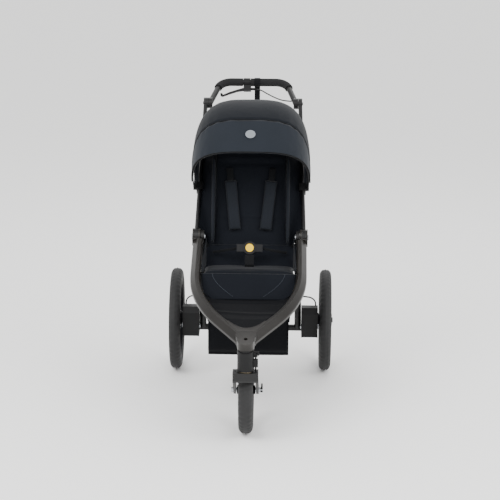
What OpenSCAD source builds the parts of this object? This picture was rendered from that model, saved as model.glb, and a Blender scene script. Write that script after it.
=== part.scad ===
// All-terrain stroller: a fixed lower V frame with a swivelling front fork, an upper frame that
// folds forward, a rear frame that folds under it, sprung rear wheels, a sling seat with a
// reclining back, a folding canopy, a basket, a turning handlebar and a hand brake.
// The object faces -Y and stands on z = 0. Every module is written from the front axle's Y.

/* [Overall] */
// Front axle to rear axles
wheelbase = 788; // [700:1:950]
// Height of the handlebar grip's centre line
grip_height = 1108; // [1020:1:1200]
// Front axle to the grip's centre line
grip_reach = 1010; // [980:1:1100]
// Distance between the rear wheels' centre planes
track = 584; // [570:1:700]

/* [Wheels] */
// Outer radius of the front tyre
front_wheel_r = 158; // [140:1:162]
// Width of the front tyre
front_tyre_w = 52; // [40:1:63]
// Outer radius of the rear tyres
rear_wheel_r = 200; // [170:1:210]
// Width of the rear tyres
rear_tyre_w = 45; // [37:1:50]
// Number of spokes in each wheel
spoke_count = 20; // [12:2:28]
// Diameter of a spoke
spoke_d = 2.6; // [2:0.1:3.5]
// Diameter of the axles and of the quick-release skewer
axle_d = 12; // [10:0.5:14]

/* [Lower frame] */
// Outer half width of the V frame
frame_half_w = 212.5; // [205:0.5:214]
// Width of the V frame's tube
frame_tube_w = 37; // [31:1:40]
// Height of the V frame's tube
frame_tube_h = 33; // [27:1:38]
// Wall of the V frame's tube
frame_wall = 2.5; // [1.5:0.5:4]
// Fold axis behind the front axle
hub_y = 500; // [480:1:520]
// Height of the fold axis
hub_z = 600; // [590:1:620]
// Slope of the V frame down to the nose
frame_slope = 19.55; // [18:0.05:21]
// Fold axis to the centre of the nose bend, along the frame
nose_s = 657; // [640:1:670]
// Inward turn of each side of the V
side_turn = 36; // [33:0.5:38]
// Centre-line radius of each side's bend
side_bend_r = 486; // [430:1:520]

/* [Steering] */
// Steering axis ahead of the front axle
steer_ahead = 148; // [146:1:156]
// Outer diameter of the steering head
head_d = 58; // [52:1:60]
// Height of the head's lower end
head_bottom = 275; // [272:1:285]
// Diameter of the kingpin
kingpin_d = 16; // [12:1:18]
// Thickness of a fork leg
fork_leg_t = 9; // [7:0.5:11]
// Width of a fork leg seen from the side
fork_leg_w = 30; // [24:1:34]

/* [Upper frame] */
// Thickness of the upper tubes
upper_tube_t = 15; // [12:0.5:17]
// Width of the upper tubes, seen from the side
upper_tube_w = 34; // [28:1:38]
// Tube centre to the middle plane at the fold axis
upper_x_low = 202; // [200:0.5:203]
// Tube centre to the middle plane at the handlebar pivot
upper_x_top = 184; // [180:0.5:190]
// Handlebar pivot behind the front axle
pivot_y = 880; // [860:1:890]
// Height of the handlebar pivot
pivot_z = 1045; // [1000:1:1060]

/* [Handlebar] */
// Diameter of the handlebar tube
bar_d = 22; // [19:1:25]
// Outer diameter of the foam grip
grip_d = 31; // [28:1:36]
// Radius of the handlebar's corner bends
bar_bend_r = 55; // [45:1:65]
// Inward lean of the handlebar's arms
bar_lean = 15; // [8:1:20]

/* [Rear suspension] */
// Suspension pivot ahead of the rear axle
arm_length = 120; // [110:1:130]
// Outer half width of the suspension housings
housing_outer_x = 262; // [258:0.5:264]
// Width of a suspension housing
housing_w = 64; // [58:1:66]
// Diameter of the rubber spring blocks
block_d = 30; // [24:1:34]

/* [Seat] */
// Half width of the seat pan
seat_half_w = 164; // [140:1:166]
// Thickness of the seat pan
seat_t = 26; // [18:1:34]
// Half width of the backrest
back_half_w = 148; // [130:1:160]
// Thickness of the backrest
back_t = 26; // [18:1:34]
// Length of the backrest
back_length = 478; // [430:1:500]
// Lean of the backrest from level
back_angle = 68.5; // [65:0.5:74]

/* [Canopy] */
// Radius of the canopy round its pivot
canopy_r = 340; // [300:1:345]
// Outer half width of the canopy
canopy_half_w = 223; // [222:0.5:228]
// Rise of the front bow from level
front_bow_angle = 35; // [30:1:40]
// Rise of the middle bow from level
mid_bow_angle = 59; // [55:1:65]
// Rise of the rear bow from level
rear_bow_angle = 116; // [110:1:120]

/* [Fits] */
// Radial running clearance of pins, axles and bushes
run_gap = 0.05; // [0.02:0.01:0.1]
// Gap between faces that slide past each other
slide_gap = 0.5; // [0.3:0.1:1]

/* [Hidden] */
$fn = 48;
small_fn = 24;
// Overlap of the handlebar's run with its bend
weld = 0.1;
// Bends sit this far inside the runs they enter, over a short seat. Hollows stop this far from a joint
bend_inset = 0.15;
seat_turn = 0.24;
joint_len = 6;
joint_turn = 0.8;
nose_half = frame_tube_h / 2 + 0.3;
// Length along Y from the nose to the back of the grip, and the front axle's place in it
steer_y = -steer_ahead;
nose_front = steer_y - (head_d / 2 + 1) * cos(frame_slope) - nose_half * sin(frame_slope);
front_y = -(nose_front + grip_reach + grip_d / 2 + 2.3) / 2;
rear_y = wheelbase;
wheel_x = track / 2;
// V frame: centre line half width, start of the bend and length of the slanting run
frame_x = frame_half_w - frame_tube_w / 2;
nose_c_r = frame_tube_w / 2 + 0.5;
bend_s = nose_s - (side_bend_r - nose_c_r + (frame_x - side_bend_r) * cos(side_turn)) / sin(side_turn);
slant_len = (side_bend_r - frame_x) * -sin(side_turn) + (nose_s - bend_s) * cos(side_turn);
tube_start = 42;
// Fold hub layers, from the inside out
lug_x = upper_x_low - upper_tube_t / 2 - 22;
lug_t = 14;
cheek_in_x = lug_x + lug_t + slide_gap;
cheek_in_t = upper_x_low - upper_tube_t / 2 - slide_gap - cheek_in_x;
cheek_out_x = upper_x_low + upper_tube_t / 2 + slide_gap;
cheek_out_t = 6;
hub_r = 30;
lug_r = 24;
pin_r = 6;
// Upper tubes
upper_run = [upper_x_top - upper_x_low, pivot_y - hub_y, pivot_z - hub_z];
upper_len = norm(upper_run);
upper_pitch = atan2(upper_run.y, upper_run.z);
upper_lean = asin(upper_run.x / upper_len);
pivot_r = 21;
bar_boss_t = 18;
bar_boss_x = upper_x_top - upper_tube_t / 2 - slide_gap - bar_boss_t;
// Handlebar, in the plane through its pivot and the grip
bar_pitch = atan2(grip_height - pivot_z, grip_reach - pivot_y);
bar_depth = norm([grip_reach - pivot_y, grip_height - pivot_z]);
bar_x = bar_boss_x + bar_boss_t / 2;
bar_turn = 90 - bar_lean;
bar_corner_x = bar_x - bar_depth * tan(bar_lean);
bar_tangent = bar_bend_r * tan(bar_turn / 2);
bar_top_x = bar_corner_x - bar_tangent;
bar_arm_len = bar_depth / cos(bar_lean) - bar_tangent;
// Steering
fork_in_x = front_tyre_w / 2 + 9.6;
fork_out_x = fork_in_x + fork_leg_t;
flange_t = 3;
crown_top = head_bottom - flange_t - slide_gap;
head_cut_z = hub_z - (hub_y + steer_ahead) * tan(frame_slope);
head_top = head_cut_z + 8;
spigot_r = head_d / 2 - 4;
bush_r = kingpin_d / 2 + 3;
kingpin_top = head_top - 14;
kingpin_hold = 22;
lock_x = head_d / 2 + 6.4;
lock_knob_r = lock_x - head_d / 2 - 0.3;
lock_travel = 8;
// Rear suspension
arm_y = rear_y - arm_length;
arm_z = rear_wheel_r + 5;
housing_in_x = housing_outer_x - housing_w;
housing_wall = 6;
housing_top = 283;
housing_front = arm_y - 28;
swing_x1 = housing_in_x + 14;
swing_x2 = housing_outer_x - 12;
arm_h = 34;
brake_plate_t = 4;
plate_r = 36;
plate_x2 = housing_outer_x + 1;
hub_in_x = plate_x2 + slide_gap * 2;
cap_x = wheel_x + rear_tyre_w / 2 + 5;
button_out = 3.5;
cross_y = rear_y - 76;
cross_z = 188;
cross_r = 12.5;
housing_back = cross_y + 16;
leg_r = 13;
pedal_y = cross_y + 28;
pedal_z = cross_z + 12;
// Canopy pivot, a share of the way up the upper tubes
canopy_at = 0.355;
canopy_y = hub_y + upper_run.y * canopy_at;
canopy_z = hub_z + upper_run.z * canopy_at;
canopy_tube_x = upper_x_low + upper_run.x * canopy_at;
// Cross brace between the upper tubes, as a share of the way up them
brace_at = 0.86;
brace_r = 8;
brace_x = upper_x_low + upper_run.x * brace_at - upper_tube_t / 2 + 1;
cloth_t = 2.5;
bow_t = 3;
bow_w = 11;
bow_step = bow_t + 1;
bow_half_w = canopy_half_w - cloth_t - slide_gap;
clamp_out_x = bow_half_w - 2 * bow_step - bow_t - 1;
bow_power = 3.4;
canopy_low = 48;
// Seat
seat_front_y = 262;
seat_front_z = 521;
seat_rear_y = 452;
seat_rear_z = 503;
bight_y = 487;
bight_z = 512;
flap_bottom = [196, 434];
flap_t = 8;
footwell_t = 4;
buckle_y = 424;
buckle_z = 574;

// ---- shared shapes ----

// Children are placed from the front axle's Y
module from_axle() { translate([0, front_y, 0]) children(); }

// One child at +X and its mirror image at -X
module both_sides() {
    children();
    mirror([1, 0, 0]) children();
}

// Children drawn for the right side, mirrored when side is -1
module on_side(side) {
    if (side > 0) children();
    else mirror([1, 0, 0]) children();
}

// A round rod along X
module x_rod(x1, x2, r, y, z) {
    translate([x1, y, z]) rotate([0, 90, 0]) cylinder(h = x2 - x1, r = r);
}

// A (Y, Z) outline extruded along X
module x_slab(x1, x2) {
    translate([x1, 0, 0]) rotate([90, 0, 90]) linear_extrude(height = x2 - x1) children();
}

// A round rod from point a to point b
module rod(a, b, r) {
    d = b - a;
    translate(a) rotate([0, acos(d.z / norm(d)), atan2(d.y, d.x)]) cylinder(h = norm(d), r = r);
}

// The V frame's own plane: Y runs back along it to the fold axis, Z is its normal
module frame_plane() { translate([0, hub_y, hub_z]) rotate([frame_slope, 0, 0]) children(); }

// The handlebar's own plane: Y runs from the pivot to the grip
module bar_plane() { translate([0, pivot_y, pivot_z]) rotate([bar_pitch, 0, 0]) children(); }

// The upper tube's own line: Z runs up it from the fold axis
module upper_line() {
    translate([upper_x_low, hub_y, hub_z]) rotate([-upper_pitch, 0, 0]) rotate([0, upper_lean, 0]) children();
}

// The backrest's own frame: Z runs up it from the bight, Y is its normal, pointing back
module back_line() { translate([0, bight_y, bight_z]) rotate([back_angle - 90, 0, 0]) children(); }

// A swept tube of n sides through a list of points
function tangent(p, i) =
    let (a = p[max(i - 1, 0)], b = p[min(i + 1, len(p) - 1)]) (b - a) / norm(b - a);
function ring_at(p, i, r, n, up) =
    let (t = tangent(p, i), u = cross(t, up), s = u / norm(u), v = cross(t, s))
    [for (k = [0:n - 1]) p[i] + r * (cos(360 * k / n) * s + sin(360 * k / n) * v)];
function curve(p, steps) = [
    for (i = [0:len(p) - 2], k = [0:steps - 1])
        let (t = k / steps, a = p[max(i - 1, 0)], b = p[i], c = p[i + 1], d = p[min(i + 2, len(p) - 1)])
        0.5 * (2 * b + (c - a) * t + (2 * a - 5 * b + 4 * c - d) * t * t + (3 * b - a - 3 * c + d) * t * t * t),
    p[len(p) - 1]];
module sweep(p, r, n, up = [0, 0, 1]) {
    rings = len(p);
    polyhedron(
        points = [for (i = [0:rings - 1]) each ring_at(p, i, r, n, up)],
        faces = [
            [for (k = [0:n - 1]) k],
            for (i = [0:rings - 2], k = [0:n - 1])
                [i * n + k, (i + 1) * n + k, (i + 1) * n + (k + 1) % n, i * n + (k + 1) % n],
            [for (k = [n - 1:-1:0]) (rings - 1) * n + k]]);
}

// ---- lower frame ----

// The tube's angular section: a flat top inside, a sloping face outside. inset moves it in by a wall
module frame_section(inset = 0) {
    w = frame_tube_w / 2 - inset;
    h = frame_tube_h / 2 - inset;
    polygon([
        [-w, -h + 5], [-w + 5, -h], [w - 6, -h], [w, -h + 5], [w, -h * 0.1], [w - 2, h * 0.14],
        [1.5, h - 0.6], [-0.5, h], [-w + 5, h], [-w, h - 5]]);
}

// One side of the V, from the hub casting to the nose. The bend seats inside the straight runs' ends
module frame_side() {
    translate([frame_x, -tube_start, 0]) rotate([90, 0, 0])
        linear_extrude(height = bend_s - tube_start) frame_section();
    translate([frame_x - side_bend_r, -bend_s, 0]) rotate([0, 0, -side_turn]) {
        rotate([0, 0, -seat_turn]) rotate_extrude(angle = side_turn + 2 * seat_turn, $fn = 120)
            translate([side_bend_r, 0]) frame_section(bend_inset);
        translate([side_bend_r, 0, 0]) rotate([90, 0, 0]) linear_extrude(height = slant_len) frame_section();
    }
}

// The hollow inside one side. Each run's hollow stops short of the joint with the next
module frame_hollow() {
    translate([frame_x, -tube_start + 1, 0]) rotate([90, 0, 0])
        linear_extrude(height = bend_s - tube_start + 1 - joint_len) frame_section(frame_wall);
    translate([frame_x - side_bend_r, -bend_s, 0]) rotate([0, 0, -side_turn]) {
        rotate([0, 0, joint_turn]) rotate_extrude(angle = side_turn - 2 * joint_turn, $fn = 120)
            translate([side_bend_r, 0]) frame_section(frame_wall + bend_inset);
        translate([side_bend_r, -joint_len, 0]) rotate([90, 0, 0])
            linear_extrude(height = slant_len - 2 * joint_len) frame_section(frame_wall);
    }
}

// The tight bend round the nose, seated in the slanting runs' ends
module nose_bend() {
    half = 90 - side_turn + 5;
    translate([0, -nose_s, 0]) rotate([0, 0, -90 - half]) rotate_extrude(angle = 2 * half)
        translate([nose_c_r, 0]) frame_section(bend_inset);
}

// The solid nose that takes the steering head, with a round front
module nose_block() {
    steer_s = (hub_y + steer_ahead) / cos(frame_slope);
    translate([0, 0, -nose_half]) linear_extrude(height = 2 * nose_half) {
        translate([0, -steer_s]) circle(r = head_d / 2 + 1);
        translate([0, -nose_s]) circle(r = frame_tube_w - 0.5);
        polygon([
            [-head_d / 2 - 1, -steer_s], [head_d / 2 + 1, -steer_s], [frame_tube_w - 2, -nose_s + 8],
            [18, -nose_s + 42], [-18, -nose_s + 42], [-frame_tube_w + 2, -nose_s + 8]]);
    }
}

module main_frame() {
    color("dimgray") from_axle() difference() {
        frame_plane() union() {
            difference() {
                both_sides() frame_side();
                both_sides() frame_hollow();
            }
            nose_bend();
            nose_block();
        }
        translate([0, steer_y, 0]) cylinder(h = head_top, r = spigot_r);
        translate([0, steer_y, 0]) cylinder(h = hub_z, r = 7);
    }
}

module steering_head() {
    color("black") from_axle() difference() {
        union() {
            intersection() {
                translate([0, steer_y, head_bottom]) cylinder(h = head_top - head_bottom, r = head_d / 2);
                frame_plane() translate([-100, -900, -nose_half - 200]) cube([200, 600, 200]);
            }
            translate([0, steer_y, head_bottom]) cylinder(h = head_top - head_bottom, r = spigot_r);
            translate([0, steer_y - 9, head_bottom + 14]) cube([lock_x + 8, 18, 26]);
        }
        translate([0, steer_y, head_bottom - 1]) cylinder(h = 19, r = bush_r);
        translate([0, steer_y, head_bottom]) cylinder(h = kingpin_top - head_bottom - 17, r = kingpin_d / 2 + 1);
        translate([0, steer_y, kingpin_top - 18]) cylinder(h = 18, r = bush_r);
        translate([0, steer_y, kingpin_top - 0.5]) cylinder(h = 9, r = bush_r + 4);
        translate([0, steer_y, kingpin_top]) cylinder(h = 30, r = 7);
        translate([lock_x, steer_y, head_bottom]) cylinder(h = 60, r = 3 + run_gap);
    }
}

module head_bushes() {
    color("tan") from_axle() translate([0, steer_y, 0]) difference() {
        union() {
            translate([0, 0, head_bottom - flange_t]) cylinder(h = flange_t, r = head_d / 2 - 6);
            translate([0, 0, head_bottom - 0.01]) cylinder(h = 18, r = bush_r);
            translate([0, 0, kingpin_top - 18]) cylinder(h = 17.5, r = bush_r);
        }
        cylinder(h = hub_z, r = kingpin_d / 2 + run_gap);
    }
}

// One hub casting: a plug in the tube's end and two cheeks round the fold axis
module hub_casting() {
    frame_plane() {
        translate([frame_x, -tube_start, 0]) rotate([90, 0, 0])
            linear_extrude(height = 26) frame_section(frame_wall);
        translate([cheek_in_x, -tube_start, -frame_tube_h / 2 + 1])
            cube([cheek_out_x + cheek_out_t - cheek_in_x, 8, frame_tube_h - 2]);
    }
    for (c = [[cheek_in_x, cheek_in_t], [cheek_out_x, cheek_out_t]]) {
        x_rod(c[0], c[0] + c[1], hub_r, hub_y, hub_z);
        frame_plane() translate([c[0], -tube_start + 1, -frame_tube_h / 2 + 1])
            cube([c[1], tube_start - 14, frame_tube_h - 2]);
    }
}

module fold_hubs() {
    color("dimgray") from_axle() both_sides() difference() {
        hub_casting();
        x_rod(cheek_in_x - 1, cheek_out_x + cheek_out_t + 1, pin_r, hub_y, hub_z);
    }
}

module fold_pins() {
    color("silver") from_axle() both_sides() {
        x_rod(lug_x - 3, cheek_out_x + cheek_out_t + 3, pin_r, hub_y, hub_z);
        difference() {
            union() {
                x_rod(lug_x - 4, lug_x - slide_gap, 10, hub_y, hub_z);
                x_rod(cheek_out_x + cheek_out_t, cheek_out_x + cheek_out_t + 3.5, 10, hub_y, hub_z);
            }
            x_rod(lug_x - 5, lug_x + 400, pin_r - 1, hub_y, hub_z);
        }
    }
}

// ---- steering ----

module swivel_lock() {
    color("black") from_axle() translate([lock_x, steer_y, 0]) {
        translate([0, 0, crown_top + 1]) cylinder(h = head_bottom + 54 - crown_top, r = 3);
        translate([0, 0, head_bottom + 41 + lock_travel]) cylinder(h = 5, r = lock_knob_r);
        translate([-6, -4, head_bottom + 46 + lock_travel]) difference() {
            cube([18, 8, 14]);
            translate([4, -1, 4]) cube([10, 10, 6]);
        }
    }
}

module fork_leg() {
    crown = [steer_y - 12, crown_top - 17];
    axle = [0, front_wheel_r];
    d = (axle - crown) / norm(axle - crown);
    n = [-d.y, d.x] * fork_leg_w / 2;
    x_slab(fork_in_x, fork_out_x) {
        polygon([crown - n, axle - n, axle + n, crown + n]);
        translate(axle) circle(r = fork_leg_w / 2);
        translate(crown) circle(r = fork_leg_w / 2);
    }
}

module fork() {
    front = steer_y - head_d / 2 - 1;
    color("black") from_axle() difference() {
        union() {
            both_sides() fork_leg();
            x_slab(-fork_out_x, fork_out_x)
                polygon([
                    [front, crown_top], [steer_y + 25, crown_top], [steer_y + 4, crown_top - 28],
                    [steer_y - 6, crown_top - 35], [front + 6, crown_top - 35], [front, crown_top - 28]]);
        }
        translate([0, steer_y, crown_top - kingpin_hold]) cylinder(h = 60, r = kingpin_d / 2);
        for (side = [-1, 1]) translate([side * lock_x, steer_y, crown_top - 12])
            cylinder(h = 20, r = 3 + slide_gap, $fn = small_fn);
        x_rod(-fork_out_x - 1, fork_out_x + 1, axle_d / 2, 0, front_wheel_r);
    }
}

module kingpin() {
    color("silver") from_axle() translate([0, steer_y, 0]) {
        translate([0, 0, crown_top - kingpin_hold])
            cylinder(h = kingpin_top + 6 - crown_top + kingpin_hold, r = kingpin_d / 2);
        translate([0, 0, kingpin_top]) cylinder(h = 6, r = kingpin_d / 2 + 4);
    }
}

module front_skewer() {
    color("silver") from_axle() {
        x_rod(-fork_out_x - 9, fork_out_x + 5, axle_d / 2, 0, front_wheel_r);
        x_rod(-fork_out_x - 8, -fork_out_x, 9.5, 0, front_wheel_r);
        x_rod(fork_out_x, fork_out_x + 5, 9, 0, front_wheel_r);
        x_rod(fork_out_x + 4, fork_out_x + 14, 3, 0, front_wheel_r);
    }
}

module qr_lever() {
    cam_x = fork_out_x + 10;
    color("black") from_axle() translate([cam_x, 0, front_wheel_r]) difference() {
        union() {
            translate([0, 0, -8]) cylinder(h = 16, r = 4.4);
            x_slab(-2.5, 3.5) {
                translate([2, -6]) square([46, 12]);
                translate([48, 0]) circle(r = 8);
            }
        }
        rotate([0, 90, 0]) cylinder(h = 20, r = 3 + slide_gap, center = true);
        translate([-8, -8, -3.6]) cube([16, 14, 7.2]);
    }
}

// ---- wheels: each piece is drawn at the origin with its axle along X ----

module wheel_at(side, x, y, r) { translate([side * x, y, r]) rotate([0, side > 0 ? 90 : -90, 0]) children(); }

module tyre(r, w) {
    h = w * 0.44;
    rotate_extrude($fn = 96) difference() {
        union() {
            translate([r - h, w / 2 - h]) circle(r = h);
            translate([r - h, h - w / 2]) circle(r = h);
            translate([r - 2 * h, h - w / 2]) square([2 * h, w - 2 * h]);
        }
        translate([0, -w]) square([r - 1.72 * h, 2 * w]);
    }
}

function rim_out(r, w) = r - 1.72 * w * 0.44;
module rim(r, w) {
    o = rim_out(r, w);
    b = w * 0.36;
    rotate_extrude($fn = 96) polygon([
        [o - 13, -5], [o - 9, -b], [o, -b], [o, -b + 2.5], [o - 6, -b + 4], [o - 8, 0],
        [o - 6, b - 4], [o, b - 2.5], [o, b], [o - 9, b], [o - 13, 5]]);
}

module spokes(r, w, flange_r, flange_z) {
    o = rim_out(r, w) - 9;
    for (k = [0:spoke_count - 1]) {
        a = 360 * k / spoke_count;
        z = k % 2 == 0 ? flange_z : -flange_z;
        rotate([0, 0, a]) rod([flange_r, 0, z], [o - 4, 0, z * 0.1], spoke_d / 2, $fn = 13);
    }
}

module front_tyre() { color("black") from_axle() wheel_at(1, 0, 0, front_wheel_r) tyre(front_wheel_r, front_tyre_w); }
module front_rim() { color("black") from_axle() wheel_at(1, 0, 0, front_wheel_r) rim(front_wheel_r, front_tyre_w); }
module front_spokes() {
    color("dimgray") from_axle() wheel_at(1, 0, 0, front_wheel_r) spokes(front_wheel_r, front_tyre_w, 23, 17);
}

module front_hub() {
    half = fork_in_x - 3;
    color("black") from_axle() wheel_at(1, 0, 0, front_wheel_r) difference() {
        union() {
            translate([0, 0, -half]) cylinder(h = 2 * half, r = 16);
            for (z = [-17, 17]) translate([0, 0, z - 2]) cylinder(h = 4, r = 23);
        }
        translate([0, 0, -half - 1]) cylinder(h = 2 * half + 2, r = axle_d / 2 + 2);
        for (side = [-1, 1]) translate([0, 0, side * half - 5]) cylinder(h = 10, r = 13);
    }
}

module front_bearings() {
    half = fork_in_x - 3;
    color("silver") from_axle() wheel_at(1, 0, 0, front_wheel_r) for (side = [0, 1]) mirror([0, 0, side])
        translate([0, 0, half - 5]) difference() {
            union() {
                cylinder(h = 5, r = 13);
                cylinder(h = 7.5, r = axle_d / 2 + 2);
            }
            translate([0, 0, -1]) cylinder(h = 10, r = axle_d / 2 + run_gap);
        }
}

module rear_wheel_at(side) { from_axle() wheel_at(side, wheel_x, rear_y, rear_wheel_r) children(); }
module rear_tyre(side) { color("black") rear_wheel_at(side) tyre(rear_wheel_r, rear_tyre_w); }
module rear_rim(side) { color("black") rear_wheel_at(side) rim(rear_wheel_r, rear_tyre_w); }
module rear_spokes(side) { color("dimgray") rear_wheel_at(side) spokes(rear_wheel_r, rear_tyre_w, 31, 13); }

module rear_hub(side) {
    inner = hub_in_x - wheel_x;
    outer = cap_x - wheel_x;
    color("black") rear_wheel_at(side) difference() {
        union() {
            translate([0, 0, inner]) cylinder(h = outer - inner - 8, r = 26);
            for (z = [-13, 13]) translate([0, 0, z - 2]) cylinder(h = 4, r = 31);
            translate([0, 0, outer - 9]) cylinder(h = 5, r = 30);
            translate([0, 0, outer - 4]) cylinder(h = 4, r1 = 30, r2 = 24);
        }
        translate([0, 0, inner - 1]) cylinder(h = outer - 12 - inner, r = axle_d / 2 + run_gap);
        translate([0, 0, outer - 8]) cylinder(h = 9, r = 10 + run_gap);
    }
}

module wheel_button(side) {
    color("dimgray") rear_wheel_at(side) translate([0, 0, cap_x - wheel_x - 4]) cylinder(h = 4 + button_out, r = 10);
}

// ---- rear frame and suspension ----

module rear_leg() {
    rod([lug_x + lug_t / 2 + 1, hub_y, hub_z], [lug_x + lug_t / 2 + 5, cross_y, cross_z], leg_r);
}

module rear_frame() {
    color("black") from_axle() difference() {
        union() {
            both_sides() {
                intersection() {
                    rear_leg();
                    translate([0, 0, -100]) cube([housing_in_x, 2000, 700]);
                }
                x_rod(lug_x, lug_x + lug_t, lug_r, hub_y, hub_z);
                x_slab(36, 42) {
                    translate([cross_y, cross_z]) circle(r = cross_r + 5);
                    polygon([
                        [cross_y, cross_z - 14], [pedal_y, pedal_z - 10], [pedal_y, pedal_z + 10],
                        [cross_y, cross_z + 16]]);
                    translate([pedal_y, pedal_z]) circle(r = 10);
                }
            }
            x_rod(-housing_in_x, housing_in_x, cross_r, cross_y, cross_z);
        }
        both_sides() {
            x_rod(lug_x - 1, lug_x + lug_t + 1, pin_r + run_gap, hub_y, hub_z);
            x_rod(lug_x + lug_t, 400, hub_r + 1, hub_y, hub_z);
            x_rod(lug_x - 20, lug_x, 11, hub_y, hub_z);
        }
        x_rod(-60, 60, 5 + run_gap, pedal_y, pedal_z);
    }
}

module housing_outline(inset) {
    f = housing_front + inset;
    b = housing_back - inset * 0.5;
    t = housing_top - inset;
    polygon([[f, 172], [f, t - 22], [f + 16, t], [b - 30, t], [b, t - 40], [b, 176], [b - 8, 168], [f + 8, 166]]);
}

module suspension_housings() {
    color("black") from_axle() both_sides() difference() {
        x_slab(housing_in_x, housing_outer_x) housing_outline(0);
        x_slab(housing_in_x + housing_wall, housing_outer_x - housing_wall) {
            polygon([
                [housing_front + 6, 160], [housing_front + 6, housing_top - 26], [housing_front + 20, housing_top - 8],
                [housing_back - 33, housing_top - 8], [housing_back + 1, housing_top - 54], [housing_back + 1, 160]]);
        }
        x_rod(housing_in_x - 1, housing_outer_x + 1, pin_r, arm_y, arm_z);
    }
}

module suspension_pins() {
    color("silver") from_axle() both_sides() {
        x_rod(housing_in_x, housing_outer_x, pin_r, arm_y, arm_z);
        x_rod(housing_outer_x, housing_outer_x + 3, 9, arm_y, arm_z);
        x_rod(housing_in_x - 4, housing_in_x, 9, arm_y, arm_z);
    }
}

module suspension_blocks() {
    r = block_d / 2;
    low = arm_z + arm_h / 2;
    high = housing_top - 8;
    step = (high - low) / 4;
    color("gold") from_axle() both_sides()
        translate([(swing_x1 + swing_x2) / 2, arm_y + 12, low]) rotate_extrude()
            polygon([
                [0, 0], for (k = [0:3]) each [[r, k * step], [r, (k + 0.6) * step], [r - 4, (k + 0.8) * step]],
                [r, high - low], [0, high - low]]);
}

module swingarm(side) {
    color("black") from_axle() on_side(side) difference() {
        union() {
            x_slab(swing_x1, swing_x2) {
                translate([arm_y, arm_z]) circle(r = 17);
                translate([rear_y, rear_wheel_r]) circle(r = 19);
                polygon([
                    [arm_y, arm_z - 17], [rear_y, rear_wheel_r - 15], [rear_y, rear_wheel_r + 15],
                    [arm_y + 34, arm_z + 17], [arm_y, arm_z + 17]]);
            }
            x_rod(swing_x2 - 1, plate_x2 - brake_plate_t + 0.5, 17, rear_y, rear_wheel_r);
            x_rod(plate_x2 - brake_plate_t, plate_x2, plate_r, rear_y, rear_wheel_r);
            x_slab(plate_x2 - 14, plate_x2 - brake_plate_t + 0.5)
                translate([rear_y - 26, rear_wheel_r + 24]) square([10, 26]);
        }
        x_rod(swing_x1 - 1, swing_x2 + 1, pin_r + run_gap, arm_y, arm_z);
        x_rod(swing_x1 + 12, plate_x2 + 1, axle_d / 2, rear_y, rear_wheel_r);
    }
}

module rear_axle(side) {
    color("silver") from_axle() on_side(side)
        x_rod(swing_x1 + 12, cap_x - 14, axle_d / 2, rear_y, rear_wheel_r);
}

// Brake cable from each leg to the brake plate's arm
cable_leg_share = (hub_z - 330) / (hub_z - cross_z);
cable_leg_y = hub_y + (cross_y - hub_y) * cable_leg_share;
cable_end_x = wheel_x - 38;
rear_cable_route = [
    [198, cable_leg_y + 1, 330], [204, cable_leg_y + 13, 330], [218, cable_leg_y + 35, 323],
    [cable_end_x - 20, cross_y - 8, 312], [cable_end_x - 6, cross_y + 24, 294],
    [cable_end_x, cross_y + 46, 274], [cable_end_x, cross_y + 55, 253]];
module rear_cables() {
    color("black") from_axle() both_sides() sweep(curve(rear_cable_route, 4), 2.6, 8, [1, 0, 0.2]);
}

module parking_brake() {
    color("firebrick") from_axle() {
        x_rod(-48, 48, 5, pedal_y, pedal_z);
        difference() {
            x_slab(-32, 32) {
                translate([pedal_y, pedal_z]) circle(r = 9);
                polygon([
                    [pedal_y, pedal_z - 8], [pedal_y + 52, pedal_z + 2], [pedal_y + 54, pedal_z + 8],
                    [pedal_y, pedal_z + 9]]);
            }
            for (k = [0:3]) translate([-26, pedal_y + 16 + 9 * k, pedal_z + 7]) cube([52, 3, 6]);
        }
    }
}

// ---- upper frame ----

module flat_oval(w, t) {
    square([t, w - t], center = true);
    for (side = [-1, 1]) translate([0, side * (w - t) / 2]) circle(r = t / 2);
}

// One side of the upper frame: a flat-oval tube with a boss at each end
module upper_side() {
    wall = 2;
    difference() {
        union() {
            upper_line() translate([0, 0, hub_r - 8]) linear_extrude(height = upper_len - hub_r + 8 - pivot_r + 5)
                flat_oval(upper_tube_w, upper_tube_t);
            x_rod(upper_x_low - upper_tube_t / 2, upper_x_low + upper_tube_t / 2, hub_r - 1, hub_y, hub_z);
            x_rod(upper_x_top - upper_tube_t / 2, upper_x_top + upper_tube_t / 2, pivot_r, pivot_y, pivot_z);
        }
        upper_line() translate([0, 0, hub_r + 14])
            linear_extrude(height = upper_len - hub_r - pivot_r - 24)
                flat_oval(upper_tube_w - 2 * wall, upper_tube_t - 2 * wall);
        x_rod(upper_x_low - 20, upper_x_low + 20, pin_r + run_gap, hub_y, hub_z);
        x_rod(upper_x_top - 20, upper_x_top + 20, 9 + run_gap, pivot_y, pivot_z);
        translate([0, 0, hub_z]) x_slab(upper_x_top - 40, upper_x_top - upper_tube_t / 2)
            translate([pivot_y, pivot_z - hub_z]) circle(r = pivot_r + 4);
        x_rod(cheek_out_x - slide_gap, 400, hub_r + 1, hub_y, hub_z);
        x_rod(0, upper_x_low - upper_tube_t / 2, hub_r + 1, hub_y, hub_z);
    }
}

module upper_frame() {
    color("black") from_axle() {
        both_sides() upper_side();
        x_rod(-brace_x, brace_x, brace_r, hub_y + upper_run.y * brace_at, hub_z + upper_run.z * brace_at);
    }
}

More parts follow.
